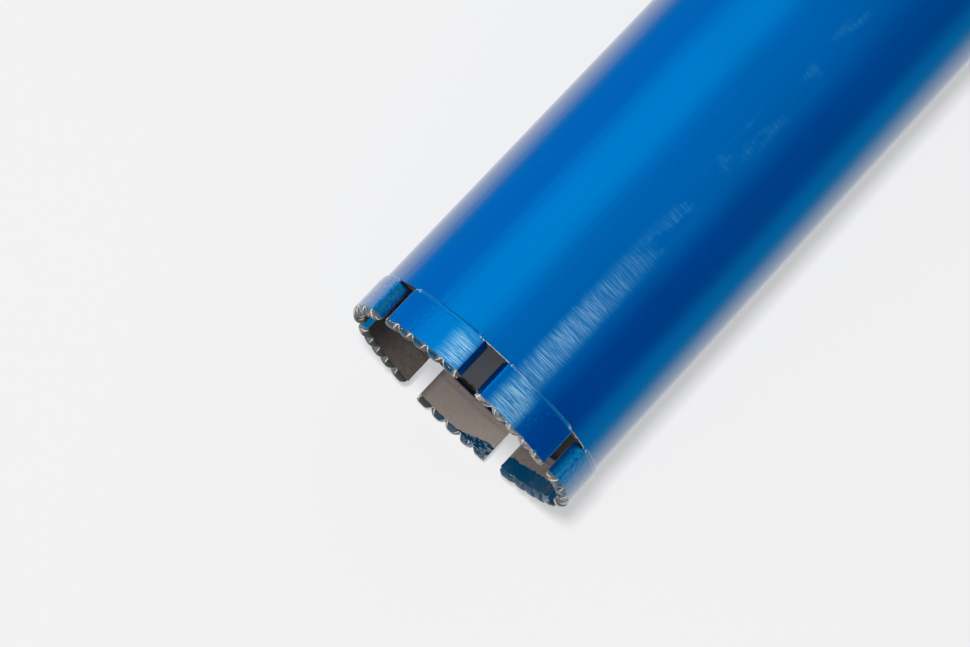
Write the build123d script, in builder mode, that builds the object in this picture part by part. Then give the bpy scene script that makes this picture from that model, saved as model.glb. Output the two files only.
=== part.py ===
from build123d import *
from math import asin, cos, degrees, radians, sin
import os

# Wet diamond core bit: a steel barrel, a threaded hub welded into its drive end, and a crown of
# sintered diamond segments welded to its rim. It stands on the hub's end face with the crown up:
# Z = 0 is that face, and +Z runs along the axis towards the crown.

# Crown
crown_diameter = 72.0  # cutting diameter over the segments
segment_count = 7
segment_length = 24.0  # chord, between parallel ends
segment_thickness = 3.5
segment_height = 11.2  # from the weld to the tooth tips
base_height = 2.0  # diamond-free foot that takes the weld
base_relief = 0.15  # the foot is this much thinner on the bore side
teeth_per_segment = 5
tooth_rise = 1.6  # tip above the shoulder that the teeth stand on
arch_overhang = 0.1  # the arch springs this far outside the wall, so the wall trims it
valley_dip = 0.4  # lowest point between two teeth below the shoulder
valley_fillet = 0.3
tooth_land = 0.08  # flanks aim this far above the tip, which leaves a narrow land
end_lift = 0.9  # the valley at each end of a segment is this much shallower

# Barrel
barrel_diameter = 70.8
barrel_wall = 2.2
barrel_length = 438.8  # steel tube alone, so 450 mm with the crown
rim_break = 0.25

# Welds
crown_weld_leg = 0.5
weld_root = 0.3  # depth that the bead melts into the steel
hub_weld_leg = 1.2

# Hub
collar_diameter = 50.0
collar_height = 8.0
flat_width = 41.0  # across the wrench flats
flat_height = 20.0
neck_height = 32.0
flange_height = 8.0
spigot_height = 10.0
spigot_clearance = 0.05
thread_minor_diameter = 27.8  # 1 1/4 inch, 7 threads to the inch
thread_major_diameter = 31.75
thread_depth = 30.0
thread_mouth_play = 0.25
water_hole_diameter = 16.0
turned_chamfer = 0.8
flange_chamfer = 0.6

# Radii and levels that follow
crown_radius = crown_diameter / 2
crown_bore_radius = crown_radius - segment_thickness
crown_middle_radius = crown_radius - segment_thickness / 2
barrel_radius = barrel_diameter / 2
barrel_bore_radius = barrel_radius - barrel_wall
flange_radius = barrel_radius - hub_weld_leg
barrel_foot = neck_height + flange_height
barrel_rim = barrel_foot + barrel_length
half_length = segment_length / 2
segment_turn = 360 / segment_count
first_segment_angle = 90

os.makedirs("parts", exist_ok=True)


def turned_plane(angle):
    """Upright plane through the axis: local x points outwards at this angle, local y points up."""
    outwards = (cos(radians(angle)), sin(radians(angle)), 0)
    sideways = (sin(radians(angle)), -cos(radians(angle)), 0)
    return Plane(origin=(0, 0, 0), x_dir=outwards, z_dir=sideways)


def outward_plane(angle):
    """Upright plane on the axis that faces outwards at this angle: local x is tangential, y is up."""
    outwards = (cos(radians(angle)), sin(radians(angle)), 0)
    tangential = (-sin(radians(angle)), cos(radians(angle)), 0)
    return Plane(origin=(0, 0, 0), x_dir=tangential, z_dir=outwards)


# Hub: turned from bar, with a collar to stand on, two milled wrench flats, a flange that carries
# the barrel's end and a spigot that centres the barrel.
with BuildPart() as hub:
    with BuildSketch(Plane.XZ):
        with BuildLine():
            Polyline(
                (0, 0),
                (collar_diameter / 2, 0),
                (collar_diameter / 2, neck_height),
                (flange_radius, neck_height),
                (flange_radius, barrel_foot),
                (barrel_bore_radius - spigot_clearance, barrel_foot),
                (barrel_bore_radius - spigot_clearance, barrel_foot + spigot_height),
                (0, barrel_foot + spigot_height),
                close=True,
            )
        make_face()
    revolve(axis=Axis.Z)
    chamfer(hub.edges().filter_by(GeomType.CIRCLE).group_by(Axis.Z)[0], turned_chamfer)
    chamfer(hub.edges().filter_by(GeomType.CIRCLE).group_by(Axis.Z)[-1], turned_chamfer)
    flange_edge = hub.edges().filter_by_position(Axis.Z, neck_height, neck_height)
    chamfer(flange_edge.sort_by(SortBy.RADIUS)[-1], flange_chamfer)
    with BuildSketch(Plane.XY.offset(collar_height)):
        flat_depth = (collar_diameter - flat_width) / 2
        with GridLocations(flat_width + flat_depth, 0, 2, 1):
            Rectangle(flat_depth, collar_diameter)
    extrude(amount=flat_height, mode=Mode.SUBTRACT)
    with BuildSketch(Plane.XY):
        Circle(thread_minor_diameter / 2)
    extrude(amount=thread_depth, mode=Mode.SUBTRACT)
    with BuildSketch(Plane.XY):
        Circle(water_hole_diameter / 2)
    extrude(amount=barrel_foot + spigot_height, mode=Mode.SUBTRACT)
    thread_mouth = hub.edges().filter_by_position(Axis.Z, 0, 0).sort_by(SortBy.RADIUS)[0]
    mouth_chamfer = (thread_major_diameter - thread_minor_diameter) / 2 + thread_mouth_play
    chamfer(thread_mouth, mouth_chamfer)
hub.part.label = "hub"
export_step(hub.part, "parts/hub.step")

# Weld bead: under each segment a fillet of weld metal fills the step to the barrel, outside and
# inside, and it runs as far round as the segment does.
weld_half_angle = degrees(asin(half_length / barrel_radius))
with BuildPart() as crown_weld:
    with BuildSketch(turned_plane(-weld_half_angle)):
        with BuildLine():
            Polyline(
                (barrel_radius - weld_root, barrel_rim - crown_weld_leg),
                (barrel_radius, barrel_rim - crown_weld_leg),
                (barrel_radius + crown_weld_leg, barrel_rim),
                (barrel_radius - weld_root, barrel_rim),
                close=True,
            )
        make_face()
        with BuildLine():
            Polyline(
                (barrel_bore_radius + weld_root, barrel_rim - crown_weld_leg),
                (barrel_bore_radius, barrel_rim - crown_weld_leg),
                (barrel_bore_radius - crown_weld_leg, barrel_rim),
                (barrel_bore_radius + weld_root, barrel_rim),
                close=True,
            )
        make_face()
    revolve(axis=Axis.Z, revolution_arc=2 * weld_half_angle)

# Barrel: seamless steel tube with square ends, carried by the hub's flange. Its welds belong to
# it: a ring at the hub and one bead for each segment.
with BuildPart() as barrel:
    with BuildSketch(Plane.XZ):
        with BuildLine():
            Polyline(
                (barrel_bore_radius, barrel_foot),
                (flange_radius, barrel_foot),
                (flange_radius, barrel_foot - hub_weld_leg),
                (barrel_radius, barrel_foot),
                (barrel_radius, barrel_rim),
                (barrel_bore_radius, barrel_rim),
                close=True,
            )
        make_face()
    revolve(axis=Axis.Z)
    chamfer(barrel.edges().filter_by_position(Axis.Z, barrel_rim, barrel_rim), rim_break)
    with PolarLocations(0, segment_count, start_angle=first_segment_angle):
        add(crown_weld.part)
barrel.part.label = "barrel"
export_step(barrel.part, "parts/barrel.step")

# Segment: a curved block pressed from metal powder and diamond grit, with flat parallel ends.
# Its roof is a row of teeth, each a straight arch across the wall, and radial valleys with
# rounded flanks part them. The valleys at the ends are shallow, so each end shows its arch.
shoulder = barrel_rim + segment_height - tooth_rise
arch_half = segment_thickness / 2 + arch_overhang
tooth_turn = 2 * degrees(asin(half_length / crown_middle_radius)) / teeth_per_segment
tooth_half = crown_middle_radius * radians(tooth_turn) / 2
flank_height = tooth_rise + valley_dip + tooth_land
flank_radius = (tooth_half**2 + flank_height**2) / (2 * flank_height)
with BuildSketch(Plane.XY.offset(barrel_rim)) as footprint:
    Circle(crown_radius)
    Circle(crown_bore_radius, mode=Mode.SUBTRACT)
    with Locations((crown_middle_radius, 0)):
        Rectangle(crown_radius, segment_length, mode=Mode.INTERSECT)
with BuildPart() as segment:
    add(footprint.sketch)
    extrude(amount=shoulder - barrel_rim)
    for tooth in range(teeth_per_segment):
        with BuildSketch(turned_plane((tooth + 1 / 2 - teeth_per_segment / 2) * tooth_turn)):
            with BuildLine():
                arch_foot = (crown_middle_radius - arch_half, shoulder)
                arch_end = (crown_middle_radius + arch_half, shoulder)
                ThreePointArc(arch_foot, (crown_middle_radius, shoulder + tooth_rise), arch_end)
                Line(arch_end, arch_foot)
            make_face()
        extrude(amount=tooth_half + arch_overhang, both=True)
    for valley in range(teeth_per_segment + 1):
        at_end = valley in (0, teeth_per_segment)
        floor_level = shoulder - valley_dip + (end_lift if at_end else 0)
        crest_level = floor_level + flank_height
        with BuildSketch(outward_plane((valley - teeth_per_segment / 2) * tooth_turn)):
            with BuildLine():
                RadiusArc((0, floor_level), (tooth_half, crest_level), flank_radius)
                Line((tooth_half, crest_level), (-tooth_half, crest_level))
                RadiusArc((-tooth_half, crest_level), (0, floor_level), flank_radius)
            valley_face = make_face()
            fillet(valley_face.vertices().sort_by(Axis.Z)[0], valley_fillet)
        extrude(amount=crown_diameter, mode=Mode.SUBTRACT)
    add(footprint.sketch)
    extrude(amount=segment_height, mode=Mode.INTERSECT)
    with BuildSketch(Plane.XY.offset(barrel_rim)):
        Circle(crown_bore_radius + base_relief)
    extrude(amount=base_height, mode=Mode.SUBTRACT)

# Crown: the segments are alike and sit evenly round the rim.
for number in range(segment_count):
    with BuildPart() as seated:
        with Locations(Location((0, 0, 0), (0, 0, first_segment_angle + number * segment_turn))):
            add(segment.part)
    seated.part.label = f"segment_{number + 1}"
    export_step(seated.part, f"parts/segment_{number + 1}.step")
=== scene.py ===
import math

import bmesh
import bpy
from mathutils import Matrix, Quaternion, Vector, noise


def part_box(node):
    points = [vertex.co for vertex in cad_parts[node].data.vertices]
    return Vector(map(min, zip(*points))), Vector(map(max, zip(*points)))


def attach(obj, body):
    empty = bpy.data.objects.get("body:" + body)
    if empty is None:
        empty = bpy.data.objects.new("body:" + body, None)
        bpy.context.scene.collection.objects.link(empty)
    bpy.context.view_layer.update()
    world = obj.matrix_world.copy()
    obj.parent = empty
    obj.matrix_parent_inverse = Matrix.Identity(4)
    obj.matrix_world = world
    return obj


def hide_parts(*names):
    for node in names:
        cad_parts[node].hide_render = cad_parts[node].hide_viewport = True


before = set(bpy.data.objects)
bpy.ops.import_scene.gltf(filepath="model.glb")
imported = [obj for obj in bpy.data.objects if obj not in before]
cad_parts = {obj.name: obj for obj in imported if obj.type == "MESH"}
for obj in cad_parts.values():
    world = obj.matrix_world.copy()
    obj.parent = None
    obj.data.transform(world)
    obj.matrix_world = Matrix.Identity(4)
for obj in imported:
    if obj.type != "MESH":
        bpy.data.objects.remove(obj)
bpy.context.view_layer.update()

# Barrel: a seamless steel tube, sprayed with thick blue gloss over turned steel. Inside it is bare
# and grey, with a scorched band at the rim where the segments were welded on, and painted shade on
# two stretches of the bore near the rim.
BORE_RADIUS = 0.0332
BARREL_RADIUS = 0.0354
BARREL_FOOT = 0.040
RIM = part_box("segment_1")[0].z
RIM_BREAK = 0.00025
RIM_CHIP = 0.00012
CHIP_SCALE = 700.0
CHIP_REACH = 0.001
RIM_BAND = 0.004
BARREL_SIDES = 576
SEGMENT_COUNT = 7
SEGMENT_TURN = 360 / SEGMENT_COUNT
FIRST_SEGMENT = 90.0
PAINT_BLUE = (0.0, 0.026, 0.36)
PAINT_DEEP = (0.0, 0.022, 0.33)
SCUFF_AND_HIGHLIGHT_BLUE = (0.26, 0.58, 0.92)
SCUFF_AND_HIGHLIGHT_PALE = (0.36, 0.64, 0.90)
PAINT_SHEEN = (0.0, 0.55, 0.95)
PAINT_FILTER = (0.15, 0.95, 1.0)
PAINT_EDGE = (0.8, 0.8, 0.8)
PAINT_IOR = 2.06
PAINT_ROUGHNESS = 0.30
BORE_GREY = (0.175, 0.19, 0.235)
BORE_BROWN = (0.17, 0.17, 0.185)
SCORCH_AND_SHADE = (0.006, 0.005, 0.005)
RIM_CREAM = (0.60, 0.58, 0.54)
BEAD_GLINT = (0.55, 0.72, 0.88)
PEEL_DEPTH = 0.00002
RIDGE_DEPTH = 0.00004
SCORCH_HEIGHT = 0.0014
SCORCH_RAGGED = 0.0016
# Where marks begin and end: in degrees round the axis, in degrees from the segment's middle for the
# painted glints at the bead's ends, and in height for the scuffs and their painted highlight.
SHADED_BORE_SIDE = (-60.0, 44.0)
SHADED_BORE_PATCH = (118.0, 150.0)
DARK_LIP_SPAN = (-52.0, -27.0)
BEAD_HIGHLIGHT_START = (-141.0, -138.0)
BEAD_HIGHLIGHT_FADE = (-127.0, -103.0)
BEAD_END_GLINT_SPAN = (14.5, 19.0)
TUBE_SCUFF_HIGHLIGHT = (-111.0, -101.0)
RIGHT_SCUFF_HIGHLIGHT = (-113.5, -105.5)
LEFT_SCUFF_HIGHLIGHT = (-83.0, -74.0)
SCUFFS_STRONG = RIM - 0.010
SCUFFS_FAINT = RIM - 0.050
SCUFFS_END = RIM - 0.160


def feed(tree, socket, value):
    """Gives a socket a constant or another node's output."""
    if isinstance(value, bpy.types.NodeSocket):
        tree.links.new(value, socket)
    elif isinstance(value, tuple) and socket.type == "RGBA":
        socket.default_value = (*value, 1.0)
    else:
        socket.default_value = value


def add(tree, kind, inputs, output=0, **settings):
    """Adds a node with these settings and inputs and gives back one of its outputs."""
    made = tree.nodes.new(kind)
    for name, value in settings.items():
        setattr(made, name, value)
    for name, value in inputs.items():
        feed(tree, made.inputs[name], value)
    return made.outputs[output]


def calc(tree, operation, first, second=0.0):
    """One step of arithmetic."""
    return add(tree, "ShaderNodeMath", {0: first, 1: second}, operation=operation)


def times(tree, first, *others):
    """Multiplies all these values."""
    for value in others:
        first = calc(tree, "MULTIPLY", first, value)
    return first


def total(tree, first, *others):
    """Adds up all these values."""
    for value in others:
        first = calc(tree, "ADD", first, value)
    return first


def most(tree, first, *others):
    """The greatest of all these values."""
    for value in others:
        first = calc(tree, "MAXIMUM", first, value)
    return first


def rest(tree, share):
    """What a share leaves of the whole."""
    return calc(tree, "SUBTRACT", 1.0, share)


def ramp(tree, value, low, high, start=0.0, end=1.0):
    """Eases from start to end as the value goes from low to high."""
    ends = {"Value": value, "From Min": low, "From Max": high, "To Min": start, "To Max": end}
    return add(tree, "ShaderNodeMapRange", ends, interpolation_type="SMOOTHSTEP")


def within(tree, value, low, high, edge):
    """1 between low and high, easing to 0 outside them."""
    rise = ramp(tree, value, low - edge, low + edge)
    return times(tree, rise, ramp(tree, value, high - edge, high + edge, 1.0, 0.0))


def blend(tree, share, first, second):
    """Mixes two colours."""
    sides = {"Factor": share, 6: first, 7: second}
    return add(tree, "ShaderNodeMix", sides, output=2, data_type="RGBA")


def new_material(name):
    """A material with its Principled shader, its tree and the object's own coordinates."""
    material = bpy.data.materials.new(name)
    material.use_nodes = True
    tree = material.node_tree
    shader = tree.nodes["Principled BSDF"]
    place = add(tree, "ShaderNodeTexCoord", {}, output="Object")
    return material, tree, shader, place


def round_coordinates(tree, place):
    """Distance from the axis, angle round it in degrees, and height."""
    split = tree.nodes.new("ShaderNodeSeparateXYZ")
    tree.links.new(place, split.inputs[0])
    x, y, z = split.outputs
    square = total(tree, times(tree, x, x), times(tree, y, y))
    angle = times(tree, calc(tree, "ARCTAN2", y, x), 180 / math.pi)
    return calc(tree, "SQRT", square), angle, z


def off_whole(tree, value):
    """How far a value is from the nearest whole number, from -0.5 to 0.5."""
    return calc(tree, "SUBTRACT", calc(tree, "FRACT", total(tree, value, 0.5)), 0.5)


def across_segment(tree, angle):
    """Place across a segment and its gap as a share of their pitch, 0 in the segment's middle."""
    turns = calc(tree, "DIVIDE", calc(tree, "SUBTRACT", angle, FIRST_SEGMENT), SEGMENT_TURN)
    return off_whole(tree, turns)


def grain(tree, place, scale, detail=3.0, stretch=(1.0, 1.0, 1.0), roughness=0.5):
    """Noise from 0 to 1, with its coordinates stretched first."""
    spot = add(tree, "ShaderNodeMapping", {"Vector": place, "Scale": stretch})
    inputs = {"Vector": spot, "Scale": scale, "Detail": detail, "Roughness": roughness}
    return add(tree, "ShaderNodeTexNoise", inputs)


def bumps(tree, height, distance, strength=1.0, below=None):
    """Tilts the surface by a height, on top of the bumps below."""
    inputs = {"Height": height, "Distance": distance, "Strength": strength}
    if below is not None:
        inputs["Normal"] = below
    return add(tree, "ShaderNodeBump", inputs)


def scuffs_and_highlight(tree, place, ridges, angle, z):
    """How far scuffs have dulled the paint and carry a painted highlight, and 0 on the tube rising to 1 up
    each segment.
    """
    step_up = ramp(tree, z, RIM - 0.0002, RIM + 0.0002)
    on_segment = times(tree, step_up, ramp(tree, z, RIM + 0.0005, RIM + 0.0035, 0.35, 1.0))
    right = times(tree, on_segment, within(tree, angle, *RIGHT_SCUFF_HIGHLIGHT, 2.5))
    left = times(tree, on_segment, within(tree, angle, *LEFT_SCUFF_HIGHLIGHT, 4.0))
    turned = most(tree, within(tree, angle, *TUBE_SCUFF_HIGHLIGHT, 3.0), right, left)
    near_crown = ramp(tree, z, SCUFFS_FAINT, SCUFFS_STRONG, 0.22, 1.0)
    near_crown = times(tree, near_crown, ramp(tree, z, SCUFFS_END, SCUFFS_END + 0.030))
    sparse = ramp(tree, z, RIM - 0.075, RIM - 0.020, 0.50, 0.15)
    patch = grain(tree, place, 1.0, 2.0, (260.0, 260.0, 90.0))
    patch = ramp(tree, patch, sparse, total(tree, sparse, 0.2))
    rubbed = ramp(tree, on_segment, 0.0, 1.0, 0.50, 0.465)
    lines = ramp(tree, ridges, rubbed, total(tree, rubbed, 0.11), 0.2, 0.9)
    return times(tree, near_crown, turned, patch, lines), on_segment


def blue_paint(tree, place, radius, angle, z, skin_radius):
    """The blue gloss: its colour with a painted highlight on the scuffs, its skin, and where the scuffs have
    dulled it.
    """
    cloud = grain(tree, place, 40.0, 2.0)
    colour = blend(tree, ramp(tree, cloud, 0.3, 0.7), PAINT_BLUE, PAINT_DEEP)
    ridges = grain(tree, place, 1.0, 3.0, (150.0, 150.0, 5200.0), 0.6)
    turned_side = ramp(tree, radius, skin_radius - 0.0003, skin_radius - 0.0001)
    scuff_highlight, on_segment = scuffs_and_highlight(tree, place, ridges, angle, z)
    scuff_highlight = times(tree, scuff_highlight, turned_side)
    # The scuffs turn pale blue: worn paint, and a painted highlight where they would catch the light.
    colour = blend(tree, scuff_highlight, colour, blend(tree, on_segment, SCUFF_AND_HIGHLIGHT_BLUE, SCUFF_AND_HIGHLIGHT_PALE))
    orange_peel = bumps(tree, grain(tree, place, 700.0, 2.0), PEEL_DEPTH, 0.4)
    depth = times(tree, turned_side, ramp(tree, z, RIM - 0.09, RIM, 0.06, 0.5))
    skin = bumps(tree, ridges, RIDGE_DEPTH, depth, orange_peel)
    return colour, skin, scuff_highlight


def set_shine(tree, shader, glossy, coated, beaded=0.0):
    """The paint's deep blue shine under a clear skin, which shines where the surface turns away."""
    facing = add(tree, "ShaderNodeLayerWeight", {"Blend": 0.5}, output="Facing")
    turned_away = ramp(tree, facing, 0.39, 0.73)
    feed(tree, shader.inputs["Coat Weight"], times(tree, coated, most(tree, glossy, turned_away)))
    feed(tree, shader.inputs["Coat IOR"], ramp(tree, turned_away, 0.0, 1.0, 1.0, 1.5))
    feed(tree, shader.inputs["Coat Tint"], blend(tree, turned_away, PAINT_FILTER, PAINT_EDGE))
    feed(tree, shader.inputs["Coat Roughness"], 0.12)
    feed(tree, shader.inputs["Specular Tint"], blend(tree, glossy, (1.0, 1.0, 1.0), PAINT_SHEEN))
    shine = most(tree, glossy, beaded)
    feed(tree, shader.inputs["IOR"], ramp(tree, shine, 0.0, 1.0, 1.45, PAINT_IOR))
    feed(tree, shader.inputs["Specular IOR Level"], ramp(tree, shine, 0.0, 1.0, 0.5, 1.0))


def loose_object(name, shell):
    """Turns a bmesh into an object of the scene."""
    mesh = bpy.data.meshes.new(name)
    shell.to_mesh(mesh)
    shell.free()
    made = bpy.data.objects.new(name, mesh)
    bpy.context.scene.collection.objects.link(made)
    return made


def finished_mesh(made):
    """The mesh that an object's modifiers give."""
    bpy.context.view_layer.update()
    return bpy.data.meshes.new_from_object(made.evaluated_get(bpy.context.evaluated_depsgraph_get()))


def link_piece(name, shell, material, slot, *nodes):
    """Makes a finished piece from a bmesh, which rides on the bit and stands for these CAD nodes."""
    piece = loose_object(name, shell)
    piece.data.materials.append(material)
    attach(piece, "root")
    if nodes:
        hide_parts(*nodes)


def lathe(profile, sides):
    """Spins a closed outline of (radius, height) points round the axis."""
    shell = bmesh.new()
    ring = [shell.verts.new((radius, 0, height)) for radius, height in profile]
    edges = [shell.edges.new((ring[index - 1], ring[index])) for index in range(len(ring))]
    bmesh.ops.spin(
        shell,
        geom=ring + edges,
        axis=(0, 0, 1),
        cent=(0, 0, 0),
        angle=2 * math.pi,
        steps=sides,
        use_merge=True,
    )
    bmesh.ops.recalc_face_normals(shell, faces=shell.faces)
    return shell


def shade_smooth(shell, sharp_degrees):
    """Smooth shading, apart from the edges that turn by more than this."""
    for face in shell.faces:
        face.smooth = True
    for edge in shell.edges:
        edge.smooth = edge.calc_face_angle(0.0) < math.radians(sharp_degrees)


barrel_paint, tree, shader, place = new_material("barrel_paint")
radius, angle, z = round_coordinates(tree, place)
outside = ramp(tree, radius, BORE_RADIUS + 0.0012, BORE_RADIUS + 0.0016)
blue, skin, scuff_highlight = blue_paint(tree, place, radius, angle, z, BARREL_RADIUS)
ragged = times(tree, grain(tree, place, 700.0, 4.0), SCORCH_RAGGED)
scorched = ramp(tree, total(tree, z, ragged), RIM - SCORCH_HEIGHT, RIM - 0.0002)
smudge = grain(tree, place, 90.0, 4.0)
bore = blend(tree, ramp(tree, smudge, 0.3, 0.7), BORE_GREY, BORE_BROWN)
# Painted shade: the bore darkens towards the rim over two stretches round the axis.
shaded_bore_angles = most(tree, within(tree, angle, *SHADED_BORE_SIDE, 14.0), within(tree, angle, *SHADED_BORE_PATCH, 12.0))
bore_shade = times(tree, shaded_bore_angles, ramp(tree, z, RIM - 0.03, RIM - 0.005))
bore = blend(tree, times(tree, bore_shade, 0.9), bore, SCORCH_AND_SHADE)
side = blend(tree, outside, blend(tree, scorched, bore, SCORCH_AND_SHADE), blue)

coarse = grain(tree, place, 900.0, 3.0)
inside_break = ramp(tree, radius, BARREL_RADIUS - 0.00001, BARREL_RADIUS + 0.00003, 1.0, 0.0)
on_rim = times(tree, ramp(tree, z, RIM - 0.0003, RIM - 0.0002), inside_break)
lip = total(tree, radius, times(tree, coarse, 0.0004))
# The lip is dark instead of cream over one stretch round the axis.
cream = times(
    tree,
    rest(tree, within(tree, angle, *DARK_LIP_SPAN, 3.0)),
    ramp(tree, lip, BARREL_RADIUS - 0.0001, BARREL_RADIUS + 0.0001),
)
side = blend(tree, on_rim, side, blend(tree, cream, SCORCH_AND_SHADE, RIM_CREAM))

on_bead = ramp(tree, radius, BARREL_RADIUS + 0.0002, BARREL_RADIUS + 0.0003)
off_middle = times(tree, calc(tree, "ABSOLUTE", across_segment(tree, angle)), SEGMENT_TURN)
# Painted glint: pale patches at the ends of the outer beads.
bead_end_glint = times(tree, on_bead, ramp(tree, off_middle, *BEAD_END_GLINT_SPAN), ramp(tree, coarse, 0.45, 0.6))
# Painted highlight: the outer beads are lightened, most over a short stretch round the axis.
bead_highlight = times(
    tree,
    on_bead,
    ramp(tree, angle, *BEAD_HIGHLIGHT_FADE, 0.22, 0.10),
    ramp(tree, angle, *BEAD_HIGHLIGHT_START),
)
side = blend(tree, bead_highlight, side, SCUFF_AND_HIGHLIGHT_BLUE)
feed(tree, shader.inputs["Base Color"], blend(tree, bead_end_glint, side, BEAD_GLINT))
glossy = times(tree, outside, rest(tree, on_rim), rest(tree, most(tree, scuff_highlight, bead_end_glint)))
feed(tree, shader.inputs["Roughness"], ramp(tree, glossy, 0.0, 1.0, 0.7, PAINT_ROUGHNESS))
feed(tree, shader.inputs["Normal"], skin)
set_shine(tree, shader, glossy, glossy)

tube = lathe(
    [
        (BORE_RADIUS, BARREL_FOOT),
        (BARREL_RADIUS, BARREL_FOOT),
        (BARREL_RADIUS, RIM - RIM_BAND),
        (BARREL_RADIUS, RIM - RIM_BREAK),
        (BARREL_RADIUS - RIM_BREAK, RIM),
        (BORE_RADIUS + RIM_BREAK, RIM),
        (BORE_RADIUS, RIM - RIM_BREAK),
        (BORE_RADIUS, RIM - RIM_BAND),
    ],
    BARREL_SIDES,
)
for vert in tube.verts:
    if vert.co.z > RIM - CHIP_REACH:
        chip = max(0.0, noise.noise(vert.co * CHIP_SCALE)) * RIM_CHIP
        vert.co.z -= chip
        vert.co.xy *= 1 - chip / BARREL_RADIUS
shade_smooth(tube, 30.0)
link_piece("barrel_tube", tube, barrel_paint, "paint", "barrel")

# Crown welds: under each segment a bead of weld metal fills the step to the barrel, outside and
# inside. It was laid in short runs, so it is lumpy, and the blue covers the outer one.
SEGMENT_LENGTH = 0.024
WELD_LEG = 0.00064
WELD_SPREAD = 1.3
INNER_LEG = 0.0004
WELD_STEPS = 96
WELD_LUMP = 0.00010
LUMP_SCALE = 800.0
WELD_LIMIT = 0.03590
WELD_RAISE = 0.0001
WELD_SHORT_TURN = 0.3
WELD_TAPER_TURN = 3.0
WELD_SIDES = 12


def weld_bead(shell, radius, height, middle, half_turn, thickness):
    """An even round bead along an arc, before it gets its lumps and its thin ends."""
    start = middle - half_turn
    spot = Matrix.Rotation(math.radians(start), 4, "Z") @ Matrix.Translation((radius, 0, height))
    turned = spot @ Matrix.Rotation(math.pi / 2, 4, "X")
    circle = bmesh.ops.create_circle(shell, segments=WELD_SIDES, radius=thickness, matrix=turned)
    ring = circle["verts"]
    edges = list({edge for vert in ring for edge in vert.link_edges})
    bmesh.ops.spin(
        shell,
        geom=ring + edges,
        axis=(0, 0, 1),
        cent=(0, 0, 0),
        angle=math.radians(2 * half_turn),
        steps=WELD_STEPS,
    )


welds = bmesh.new()
weld_half = math.degrees(math.asin(SEGMENT_LENGTH / 2 / BARREL_RADIUS))
for number in range(SEGMENT_COUNT):
    middle = FIRST_SEGMENT + number * SEGMENT_TURN
    weld_bead(welds, BARREL_RADIUS, RIM, middle, weld_half - WELD_SHORT_TURN, WELD_LEG)
    weld_bead(welds, BORE_RADIUS, RIM, middle, weld_half - WELD_SHORT_TURN, INNER_LEG)
for vert in welds.verts:
    turn = math.degrees(math.atan2(vert.co.y, vert.co.x))
    along = (turn - FIRST_SEGMENT + SEGMENT_TURN / 2) % SEGMENT_TURN - SEGMENT_TURN / 2
    outer = vert.co.xy.length > (BORE_RADIUS + BARREL_RADIUS) / 2
    middle_radius = BARREL_RADIUS if outer else BORE_RADIUS
    centre = Vector((vert.co.x, vert.co.y, 0)).normalized() * middle_radius + Vector((0, 0, RIM))
    taper = min(1.0, math.sqrt(max(0.0, (weld_half - abs(along)) / WELD_TAPER_TURN)))
    lump = 1 + noise.noise(vert.co * LUMP_SCALE) * WELD_LUMP / WELD_LEG
    vert.co = centre + (vert.co - centre) * taper * lump
    if outer:
        vert.co.z = RIM + WELD_RAISE + (vert.co.z - RIM) * WELD_SPREAD
        vert.co.xy *= min(1.0, WELD_LIMIT / vert.co.xy.length)
bmesh.ops.holes_fill(welds, edges=welds.edges, sides=WELD_SIDES)
bmesh.ops.recalc_face_normals(welds, faces=welds.faces)
shade_smooth(welds, 60.0)
link_piece("crown_welds", welds, barrel_paint, "paint")

# Hub: turned from bar, left bare, with two milled wrench flats and the drive thread. The flange
# carries the barrel's end, and the weld ring there belongs to the barrel.
TURNED_STEEL = (0.42, 0.42, 0.43)
DULL_STEEL = (0.30, 0.29, 0.285)
THREAD_MAJOR = 0.015875
THREAD_PITCH = 0.0254 / 7
THREAD_ROOT = 0.0004
THREAD_TURNS = 9
THREAD_STEPS = 96
CUTTER_INSIDE = 0.0133
JOIN_DISTANCE = 0.000001
MARK_DEPTH = 0.00003

hub_steel, tree, shader, place = new_material("hub_steel")
radius, angle, z = round_coordinates(tree, place)
marks = grain(tree, place, 1.0, 2.0, (120.0, 120.0, 2600.0))
stain = grain(tree, place, 70.0, 4.0)
feed(tree, shader.inputs["Base Color"], blend(tree, stain, TURNED_STEEL, DULL_STEEL))
feed(tree, shader.inputs["Roughness"], ramp(tree, marks, 0.3, 0.7, 0.3, 0.5))
feed(tree, shader.inputs["Normal"], bumps(tree, marks, MARK_DEPTH))
feed(tree, shader.inputs["Metallic"], 0.9)


def merged_copy(node):
    """The CAD node's surface with the points joined that lie on one another."""
    shell = bmesh.new()
    shell.from_mesh(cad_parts[node].data)
    bmesh.ops.remove_doubles(shell, verts=shell.verts, dist=JOIN_DISTANCE)
    return shell


def thread_cutter():
    """A long V-shaped coil, as the tap leaves it in the bore."""
    half_mouth = THREAD_ROOT / 2 + (THREAD_MAJOR - CUTTER_INSIDE) * math.tan(math.radians(30))
    outline = [
        (CUTTER_INSIDE, -half_mouth),
        (THREAD_MAJOR, -THREAD_ROOT / 2),
        (THREAD_MAJOR, THREAD_ROOT / 2),
        (CUTTER_INSIDE, half_mouth),
    ]
    coil = bmesh.new()
    ring = [coil.verts.new((radius, 0, height - THREAD_PITCH)) for radius, height in outline]
    edges = [coil.edges.new((ring[index - 1], ring[index])) for index in range(len(ring))]
    bmesh.ops.spin(
        coil,
        geom=ring + edges,
        axis=(0, 0, 1),
        cent=(0, 0, 0),
        dvec=(0, 0, THREAD_PITCH / THREAD_STEPS),
        angle=2 * math.pi * THREAD_TURNS,
        steps=THREAD_STEPS * THREAD_TURNS,
    )
    bmesh.ops.holes_fill(coil, edges=coil.edges, sides=len(outline))
    bmesh.ops.recalc_face_normals(coil, faces=coil.faces)
    return coil


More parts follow.
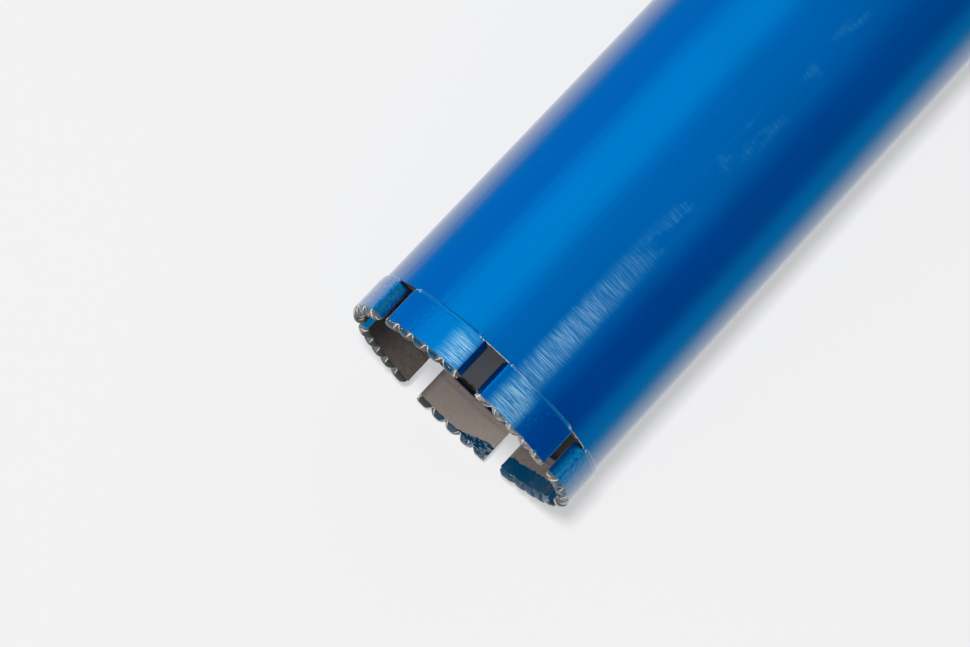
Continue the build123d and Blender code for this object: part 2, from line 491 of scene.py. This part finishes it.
blank = loose_object("hub_blank", merged_copy("hub"))
coil = loose_object("hub_coil", thread_cutter())
tapping = blank.modifiers.new("tapping", "BOOLEAN")
tapping.operation = "DIFFERENCE"
tapping.solver = "EXACT"
tapping.object = coil
tapped = bmesh.new()
tapped.from_mesh(finished_mesh(blank))
bpy.data.objects.remove(blank)
bpy.data.objects.remove(coil)
shade_smooth(tapped, 25.0)
link_piece("hub_tapped", tapped, hub_steel, "hub_steel", "hub")

# Hub weld: the bead that joins the flange to the foot of the barrel, laid in even ripples and
# sprayed with the barrel.
FLANGE_RADIUS = 0.0342
RIPPLES = 110
RIPPLE_HEIGHT = 0.00008
RIPPLE_SLANT = 900.0

bead = lathe(
    [
        (FLANGE_RADIUS - 0.0003, BARREL_FOOT - 0.0014),
        (FLANGE_RADIUS + 0.0002, BARREL_FOOT - 0.0014),
        (FLANGE_RADIUS + 0.0007, BARREL_FOOT - 0.0010),
        (FLANGE_RADIUS + 0.0010, BARREL_FOOT - 0.0004),
        (BARREL_RADIUS, BARREL_FOOT + 0.0001),
        (BARREL_RADIUS - 0.0003, BARREL_FOOT + 0.0004),
        (FLANGE_RADIUS - 0.0003, BARREL_FOOT + 0.0002),
    ],
    4 * RIPPLES,
)
for vert in bead.verts:
    around = math.atan2(vert.co.y, vert.co.x)
    if vert.co.xy.length > FLANGE_RADIUS:
        slant = (BARREL_FOOT - vert.co.z) * RIPPLE_SLANT
        vert.co.xy *= 1 + math.sin(around * RIPPLES + slant) * RIPPLE_HEIGHT / BARREL_RADIUS
shade_smooth(bead, 60.0)
link_piece("hub_weld", bead, barrel_paint, "paint")

# Segments: blocks pressed and sintered from metal powder and diamond grit, welded to the rim one
# by one. The blue went on afterwards, so it covers the outside and the ends, and it has run over
# the teeth and a little way down the bore side.
TEETH = 5
CROWN_RADIUS = 0.036
CROWN_BORE_RADIUS = 0.0325
CROWN_MIDDLE = (CROWN_RADIUS + CROWN_BORE_RADIUS) / 2
TOOTH_TURN = 2 * math.degrees(math.asin(SEGMENT_LENGTH / 2 / CROWN_MIDDLE)) / TEETH
TOOTH_RISE = 0.0016
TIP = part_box("segment_1")[1].z
SHOULDER = TIP - TOOTH_RISE
VOXEL = 0.00016
BODY_PASSES = 22
EDGE_PASSES = 6
WHOLE_PASSES = 2
PIT_SCALE = 1400.0
PIT_DEPTH = 0.00006
TOOTH_CLEAR = 0.0003
GRIT_DEPTH = 0.00003
RUN_DEPTH = 0.0013
BASE_HEIGHT = 0.002
SINTER = (0.235, 0.197, 0.178)
SINTER_DARK = (0.165, 0.138, 0.124)
SINTER_LIGHT = (0.66, 0.56, 0.50)
TOOTH_GREY = (0.17, 0.18, 0.165)
TOOTH_PINK = (0.22, 0.165, 0.155)
CHIPPED = (0.50, 0.45, 0.42)
TOOTH_GRIME_AND_SHADE = (0.03, 0.03, 0.03)
TOOTH_EDGE_WEAR_AND_HIGHLIGHT = (0.80, 0.78, 0.73)
THICK_BLUE = (0.0, 0.062, 0.13)
INNER_DARK = (0.045, 0.062, 0.060)
SHADED_WALL_BLUE = (0.0, 0.030, 0.15)
OVERSPRAY = (0.0, 0.064, 0.15)
# Where marks begin and end, in degrees round the axis. The painted shade on the bore side and the
# painted sheen on the back are measured either way from the X axis.
SHADE_FADES = (20.0, 52.0)
LIT_SINTER_SIDE = (70.0, 120.0)
RUNS_SHORTEN = (66.0, 72.0)
RUNS_LENGTHEN = (82.0, 110.0)
RUNS_LENGTHEN_MORE = (117.0, 124.0)
WORN_TEETH = (-137.0, -95.0)
DARK_FLANKS = (80.0, 100.0)
SHEEN_SIDE = (-36.0, 8.0)
SHEEN_BACK = (142.0, 150.0)
DRIPS = (78.0, 116.0)

segment_skin, tree, shader, place = new_material("segment_skin")
radius, angle, z = round_coordinates(tree, place)
blue, skin, scuff_highlight = blue_paint(tree, place, radius, angle, z, CROWN_RADIUS)
across = across_segment(tree, angle)
across_tooth = off_whole(tree, times(tree, across, SEGMENT_TURN / TOOTH_TURN))
edge = add(tree, "ShaderNodeAttribute", {}, output="Fac", attribute_name="edge")
sideways = add(tree, "ShaderNodeAttribute", {}, output="Fac", attribute_name="sideways")
sideways = calc(tree, "ABSOLUTE", sideways)
from_x_axis = calc(tree, "ABSOLUTE", angle)

# The bare sinter of the bore side: its grit, a painted shadow line at its foot, a scorched band at
# its bottom, painted shade on the segments near the X axis, and painted light on one side.
speckle = grain(tree, place, 500.0, 5.0, roughness=0.7)
metal = blend(tree, ramp(tree, speckle, 0.3, 0.7), SINTER_DARK, SINTER)
# Painted shadow: a dark line at the foot.
foot_shadow_line = calc(tree, "ABSOLUTE", calc(tree, "SUBTRACT", z, RIM + BASE_HEIGHT))
metal = blend(tree, ramp(tree, foot_shadow_line, 0.0, 0.00012, 0.8, 0.0), metal, SCORCH_AND_SHADE)
metal = blend(tree, ramp(tree, z, RIM + 0.0001, RIM + 0.0004, 0.9, 0.0), metal, SCORCH_AND_SHADE)
# Painted shade on the segments nearest the X axis.
metal = blend(tree, ramp(tree, from_x_axis, *SHADE_FADES, 0.85, 0.0), metal, SCORCH_AND_SHADE)
# Painted light: one stretch of the bore side is paler.
metal = blend(tree, times(tree, within(tree, angle, *LIT_SINTER_SIDE, 3.0), 0.5), metal, SINTER_LIGHT)

# The paint that ran down the bore side, further on some segments than on others.
wander = times(tree, calc(tree, "SUBTRACT", grain(tree, place, 330.0, 4.0), 0.5), 0.0026)
run_down = total(
    tree,
    ramp(tree, angle, *RUNS_LENGTHEN, -0.0014, 0.0025),
    ramp(tree, angle, *RUNS_LENGTHEN_MORE, 0.0, 0.0014),
    ramp(tree, angle, *RUNS_SHORTEN, 0.0012, 0.0),
)
sprayed = ramp(tree, total(tree, z, run_down, wander), SHOULDER - 0.0001, SHOULDER + 0.0001)

# The teeth: where they begin, their painted outer sides, their dark inner sides (blue on some
# segments), and their bare gritty crests, with painted light and shade on their edges.
wobble = times(tree, calc(tree, "SUBTRACT", grain(tree, place, 900.0, 4.0), 0.5), 0.0006)
outward = total(tree, radius, wobble)
worn_side = within(tree, angle, *WORN_TEETH, 2.0)
paint_foot = total(tree, SHOULDER + 0.0001, times(tree, wobble, 0.8), times(tree, worn_side, 0.0005))
over_teeth = ramp(tree, calc(tree, "SUBTRACT", z, paint_foot), -0.0001, 0.0001)
arched = rest(tree, ramp(tree, sideways, 0.40, 0.62))
flank = times(
    tree,
    arched,
    ramp(tree, outward, CROWN_MIDDLE + 0.0003, CROWN_MIDDLE + 0.0005),
    ramp(tree, total(tree, across_tooth, times(tree, wobble, 300.0)), -0.32, -0.16),
    rest(tree, worn_side),
)
inward = ramp(tree, outward, CROWN_MIDDLE - 0.0005, CROWN_MIDDLE - 0.0003, 1.0, 0.0)
bore_flank = times(tree, arched, inward)
crest = blend(tree, ramp(tree, grain(tree, place, 620.0, 2.0), 0.4, 0.6), TOOTH_GREY, TOOTH_PINK)
crest = blend(tree, ramp(tree, speckle, 0.46, 0.66), crest, TOOTH_GRIME_AND_SHADE)
chipped = blend(tree, ramp(tree, grain(tree, place, 480.0, 4.0), 0.42, 0.58), CHIPPED, TOOTH_GREY)
crest = blend(tree, times(tree, worn_side, ramp(tree, speckle, 0.5, 0.62, 0.9, 0.2)), crest, chipped)
inner_flank = blend(tree, within(tree, angle, *DARK_FLANKS, 3.0), INNER_DARK, THICK_BLUE)
crest = blend(tree, bore_flank, crest, inner_flank)
chips = ramp(tree, grain(tree, place, 700.0, 3.0), 0.57, 0.62, 1.0, 0.0)
drowned = times(tree, ramp(tree, run_down, 0.0004, 0.0016), chips)
tooth_skin = blend(tree, flank, crest, THICK_BLUE)
# Worn bare edges and a painted highlight on what stands proud.
tooth_skin = blend(tree, ramp(tree, edge, 0.10, 0.22), tooth_skin, TOOTH_EDGE_WEAR_AND_HIGHLIGHT)
# Grime and painted shade in the hollows.
tooth_skin = blend(tree, ramp(tree, edge, -0.22, -0.10, 0.8, 0.0), tooth_skin, TOOTH_GRIME_AND_SHADE)
tooth_skin = blend(tree, drowned, tooth_skin, OVERSPRAY)

# The blue outside: a painted sheen of pale speckles on two of its sides, and painted shade on the flat ends.
sheen_sides = within(tree, angle, *SHEEN_SIDE, 4.0)
sheen_sides = most(tree, sheen_sides, ramp(tree, from_x_axis, *SHEEN_BACK))
painted_sheen = times(tree, ramp(tree, grain(tree, place, 1500.0, 4.0), 0.4, 0.7), 0.3, sheen_sides)
blue = blend(tree, painted_sheen, blue, SCUFF_AND_HIGHLIGHT_BLUE)
blue = blend(tree, ramp(tree, sideways, 0.7, 0.95, 0.0, 0.75), blue, SHADED_WALL_BLUE)

painted = ramp(tree, radius, CROWN_BORE_RADIUS + 0.0001, CROWN_BORE_RADIUS + 0.0004)
body = blend(tree, painted, blend(tree, sprayed, metal, OVERSPRAY), blue)
feed(tree, shader.inputs["Base Color"], blend(tree, over_teeth, body, tooth_skin))
bare = times(tree, over_teeth, rest(tree, most(tree, flank, drowned)))
wet = times(tree, most(tree, painted, sprayed), rest(tree, bare))
clear_of_scuffs_and_sheen = rest(tree, most(tree, scuff_highlight, painted_sheen))
body_gloss = times(tree, wet, painted, rest(tree, over_teeth), clear_of_scuffs_and_sheen)
smooth_wet = ramp(tree, body_gloss, 0.0, 1.0, 0.13, PAINT_ROUGHNESS)
feed(tree, shader.inputs["Roughness"], add(tree, "ShaderNodeMix", {"Factor": wet, "A": 0.6, "B": smooth_wet}))
drips = times(tree, sprayed, within(tree, angle, *DRIPS, 2.0))
coated = times(tree, wet, ramp(tree, over_teeth, 0.0, 1.0, 1.0, 0.4))
set_shine(tree, shader, body_gloss, coated, times(tree, drips, 0.4))
lumpy = most(tree, drips, times(tree, over_teeth, flank, 0.35))
runs = bumps(tree, grain(tree, place, 430.0, 2.0), RUN_DEPTH, lumpy, skin)
grit = grain(tree, place, 2200.0, 3.0)
gritty = ramp(tree, wet, 0.0, 1.0, 0.6, 0.15)
feed(tree, shader.inputs["Normal"], bumps(tree, grit, GRIT_DEPTH, gritty, runs))


def smooth_pass(shell, verts):
    """Moves each point half of the way to the middle of its neighbours."""
    bmesh.ops.smooth_vert(shell, verts=verts, factor=0.5, use_axis_x=True, use_axis_y=True, use_axis_z=True)


def mark_edges_and_sides(shell):
    """Stores how far each point stands proud of the skin round it, and how far it faces sideways."""
    edge_mark = shell.verts.layers.float.new("edge")
    side_mark = shell.verts.layers.float.new("sideways")
    mean = shell.copy()
    for _ in range(EDGE_PASSES):
        smooth_pass(mean, mean.verts)
    for vert, smoothed in zip(shell.verts, mean.verts):
        around = Vector((-vert.co.y, vert.co.x, 0)).normalized()
        vert[edge_mark] = (vert.co - smoothed.co).dot(vert.normal) / VOXEL
        vert[side_mark] = vert.normal.dot(around)
    mean.free()


def sintered(name):
    """Makes the CAD segment again as an even fine mesh with rounded edges and a pitted skin."""
    block = loose_object(name + "_draft", merged_copy(name))
    remesh = block.modifiers.new("remesh", "REMESH")
    remesh.mode = "VOXEL"
    remesh.voxel_size = VOXEL
    fine = finished_mesh(block)
    bpy.data.objects.remove(block)
    shell = bmesh.new()
    shell.from_mesh(fine)
    body = [vert for vert in shell.verts if vert.co.z < SHOULDER - TOOTH_CLEAR]
    for verts in [shell.verts] * WHOLE_PASSES + [body] * BODY_PASSES:
        smooth_pass(shell, verts)
    shell.normal_update()
    mark_edges_and_sides(shell)
    for vert in shell.verts:
        pit = max(0.0, noise.noise(vert.co * PIT_SCALE)) * PIT_DEPTH
        vert.co -= vert.normal * pit
    for face in shell.faces:
        face.smooth = True
    link_piece(name + "_sintered", shell, segment_skin, "segment", name)


for number in range(SEGMENT_COUNT):
    sintered(f"segment_{number + 1}")

# Stage: a pale floor, and a pale board that stands close behind the bit. The board shows only
# from the front, and it holds back no light.
BOARD_GAP = 0.0002
BOARD_HALF = 0.7
FLOOR_HALF = 4.0
GROUND = 0.88
BOARD_MATT = 0.25
FLOOR_MATT = 0.60
BOARD_GLOW = 0.503
FLOOR_GLOW = 0.35
FLOOR_MIRRORED = 0.06
BOARD_LIFT = 0.0001


def stage_plane(name, half_width, lift, upright, back):
    """A square sheet, flat or stood up on its edge."""
    shell = bmesh.new()
    bmesh.ops.create_grid(shell, x_segments=1, y_segments=1, size=half_width)
    if upright:
        turned = Matrix.Rotation(math.pi / 2, 3, "X")
        bmesh.ops.rotate(shell, verts=shell.verts, cent=(0, 0, 0), matrix=turned)
    bmesh.ops.translate(shell, verts=shell.verts, vec=(0, back, lift))
    plane = loose_object(name, shell)
    return plane


def pale_material(name, matt_colour, glow, mirrored_glow, one_sided):
    """Matt pale card that glows a little for the eye and for reflections."""
    material = bpy.data.materials.new(name)
    material.use_nodes = True
    tree = material.node_tree
    tree.nodes.clear()
    output = tree.nodes.new("ShaderNodeOutputMaterial")
    ray = tree.nodes.new("ShaderNodeLightPath")
    matt = add(tree, "ShaderNodeBsdfDiffuse", {"Color": (matt_colour, matt_colour, matt_colour)})
    strength = ramp(tree, ray.outputs["Is Glossy Ray"], 0.0, 1.0, glow, mirrored_glow)
    lift = add(tree, "ShaderNodeEmission", {"Color": (1.0, 1.0, 1.0), "Strength": strength})
    seen = most(tree, ray.outputs["Is Camera Ray"], ray.outputs["Is Glossy Ray"])
    both = add(tree, "ShaderNodeAddShader", {0: matt, 1: lift})
    look = add(tree, "ShaderNodeMixShader", {0: seen, 1: matt, 2: both})
    if one_sided:
        clear = add(tree, "ShaderNodeBsdfTransparent", {"Color": (1.0, 1.0, 1.0)})
        facing = tree.nodes.new("ShaderNodeNewGeometry").outputs["Backfacing"]
        shown = times(tree, seen, rest(tree, facing))
        look = add(tree, "ShaderNodeMixShader", {0: shown, 1: clear, 2: both})
    tree.links.new(look, output.inputs["Surface"])
    return material


floor = stage_plane("floor", FLOOR_HALF, 0.0, False, 0.0)
floor.data.materials.append(pale_material("floor_pale", FLOOR_MATT, FLOOR_GLOW, FLOOR_MIRRORED, False))
board = stage_plane("board", BOARD_HALF, BOARD_HALF + BOARD_LIFT, True, CROWN_RADIUS + BOARD_GAP)
board.data.materials.append(pale_material("board_pale", BOARD_MATT, BOARD_GLOW, BOARD_GLOW, True))

# Light: a dim even world, a wide soft box in front, one on the right and a brighter one between
# them, and two small bright boxes that aim at the crown from above. A small lamp throws the shadow
# on the board, and lights nothing else.
WORLD_FILL = 0.27
WORLD_GLOSS = 0.16
AIM_HEIGHT = 0.42
BOX_DISTANCE = 0.65


def soft_box(name, azimuth, distance, height, width, tall, glow, aim=AIM_HEIGHT):
    """A rectangular lamp that faces the axis, as bright as a card of this glow."""
    lamp = bpy.data.lights.new(name, "AREA")
    lamp.shape = "RECTANGLE"
    lamp.size = width
    lamp.size_y = tall
    lamp.energy = glow * math.pi * width * tall
    holder = bpy.data.objects.new(name, lamp)
    turn = math.radians(azimuth)
    holder.location = (distance * math.cos(turn), distance * math.sin(turn), height)
    holder.rotation_euler = (Vector((0, 0, aim)) - holder.location).to_track_quat("-Z", "Y").to_euler()
    holder.visible_camera = False
    bpy.context.scene.collection.objects.link(holder)
    return holder


boxes = [
    soft_box("front_box", -82.0, BOX_DISTANCE, AIM_HEIGHT, 2.00, 0.9, 0.57),
    soft_box("side_box", -6.0, BOX_DISTANCE, AIM_HEIGHT, 0.56, 0.9, 0.50),
    soft_box("key_box", -49.0, BOX_DISTANCE - 0.05, AIM_HEIGHT, 0.46, 0.8, 0.76),
    soft_box("top_box", -84.0, 0.51, 1.07, 0.20, 0.20, 13.0, RIM),
    soft_box("glint_box", -5.0, 0.60, RIM + 0.22, 0.06, 0.06, 60.0, RIM),
]
shadow_lamp = soft_box("shadow_lamp", -86.0, 1.5, 0.62, 0.18, 0.18, 300.0, 0.45)
board_alone = bpy.data.collections.new("board_alone")
board_alone.objects.link(board)
shadow_lamp.light_linking.receiver_collection = board_alone
board_left_out = bpy.data.collections.new("board_left_out")
board_left_out.objects.link(board)
board_left_out.collection_objects[0].light_linking.link_state = "EXCLUDE"
for box in boxes:
    box.light_linking.receiver_collection = board_left_out

world = bpy.data.worlds.new("studio")
bpy.context.scene.world = world
world.use_nodes = True
tree = world.node_tree
ray = tree.nodes.new("ShaderNodeLightPath")
eye = most(tree, ray.outputs["Is Camera Ray"], ray.outputs["Is Transmission Ray"])
strength = ramp(tree, ray.outputs["Is Glossy Ray"], 0.0, 1.0, WORLD_FILL, WORLD_GLOSS)
strength = add(tree, "ShaderNodeMix", {"Factor": eye, "A": strength, "B": GROUND})
background = tree.nodes["Background"]
background.inputs["Color"].default_value = (1.0, 1.0, 1.0, 1.0)
feed(tree, background.inputs["Strength"], strength)

# Camera: a little above the crown and looking down at it, turned about its own line of sight so
# that the bit lies aslant across the view.
LENS = 88.45
SHOT_DISTANCE = 0.5851
SHOT_AZIMUTH = -93.9
SHOT_HEIGHT = TIP + 0.09063
SHOT_AIM = (0.00963, -0.00066, TIP - 0.021)
SHOT_ROLL = -136.69

camera = bpy.data.objects.new("camera", bpy.data.cameras.new("camera"))
bpy.context.scene.collection.objects.link(camera)
camera.data.lens = LENS
camera.data.clip_start = 0.01
turn = math.radians(SHOT_AZIMUTH)
camera.location = (SHOT_DISTANCE * math.cos(turn), SHOT_DISTANCE * math.sin(turn), SHOT_HEIGHT)
look = Vector(SHOT_AIM) - camera.location
camera.rotation_mode = "QUATERNION"
camera.rotation_quaternion = look.to_track_quat("-Z", "Y") @ Quaternion((0, 0, 1), math.radians(SHOT_ROLL))
bpy.context.scene.camera = camera
bpy.context.scene.view_settings.view_transform = "Standard"
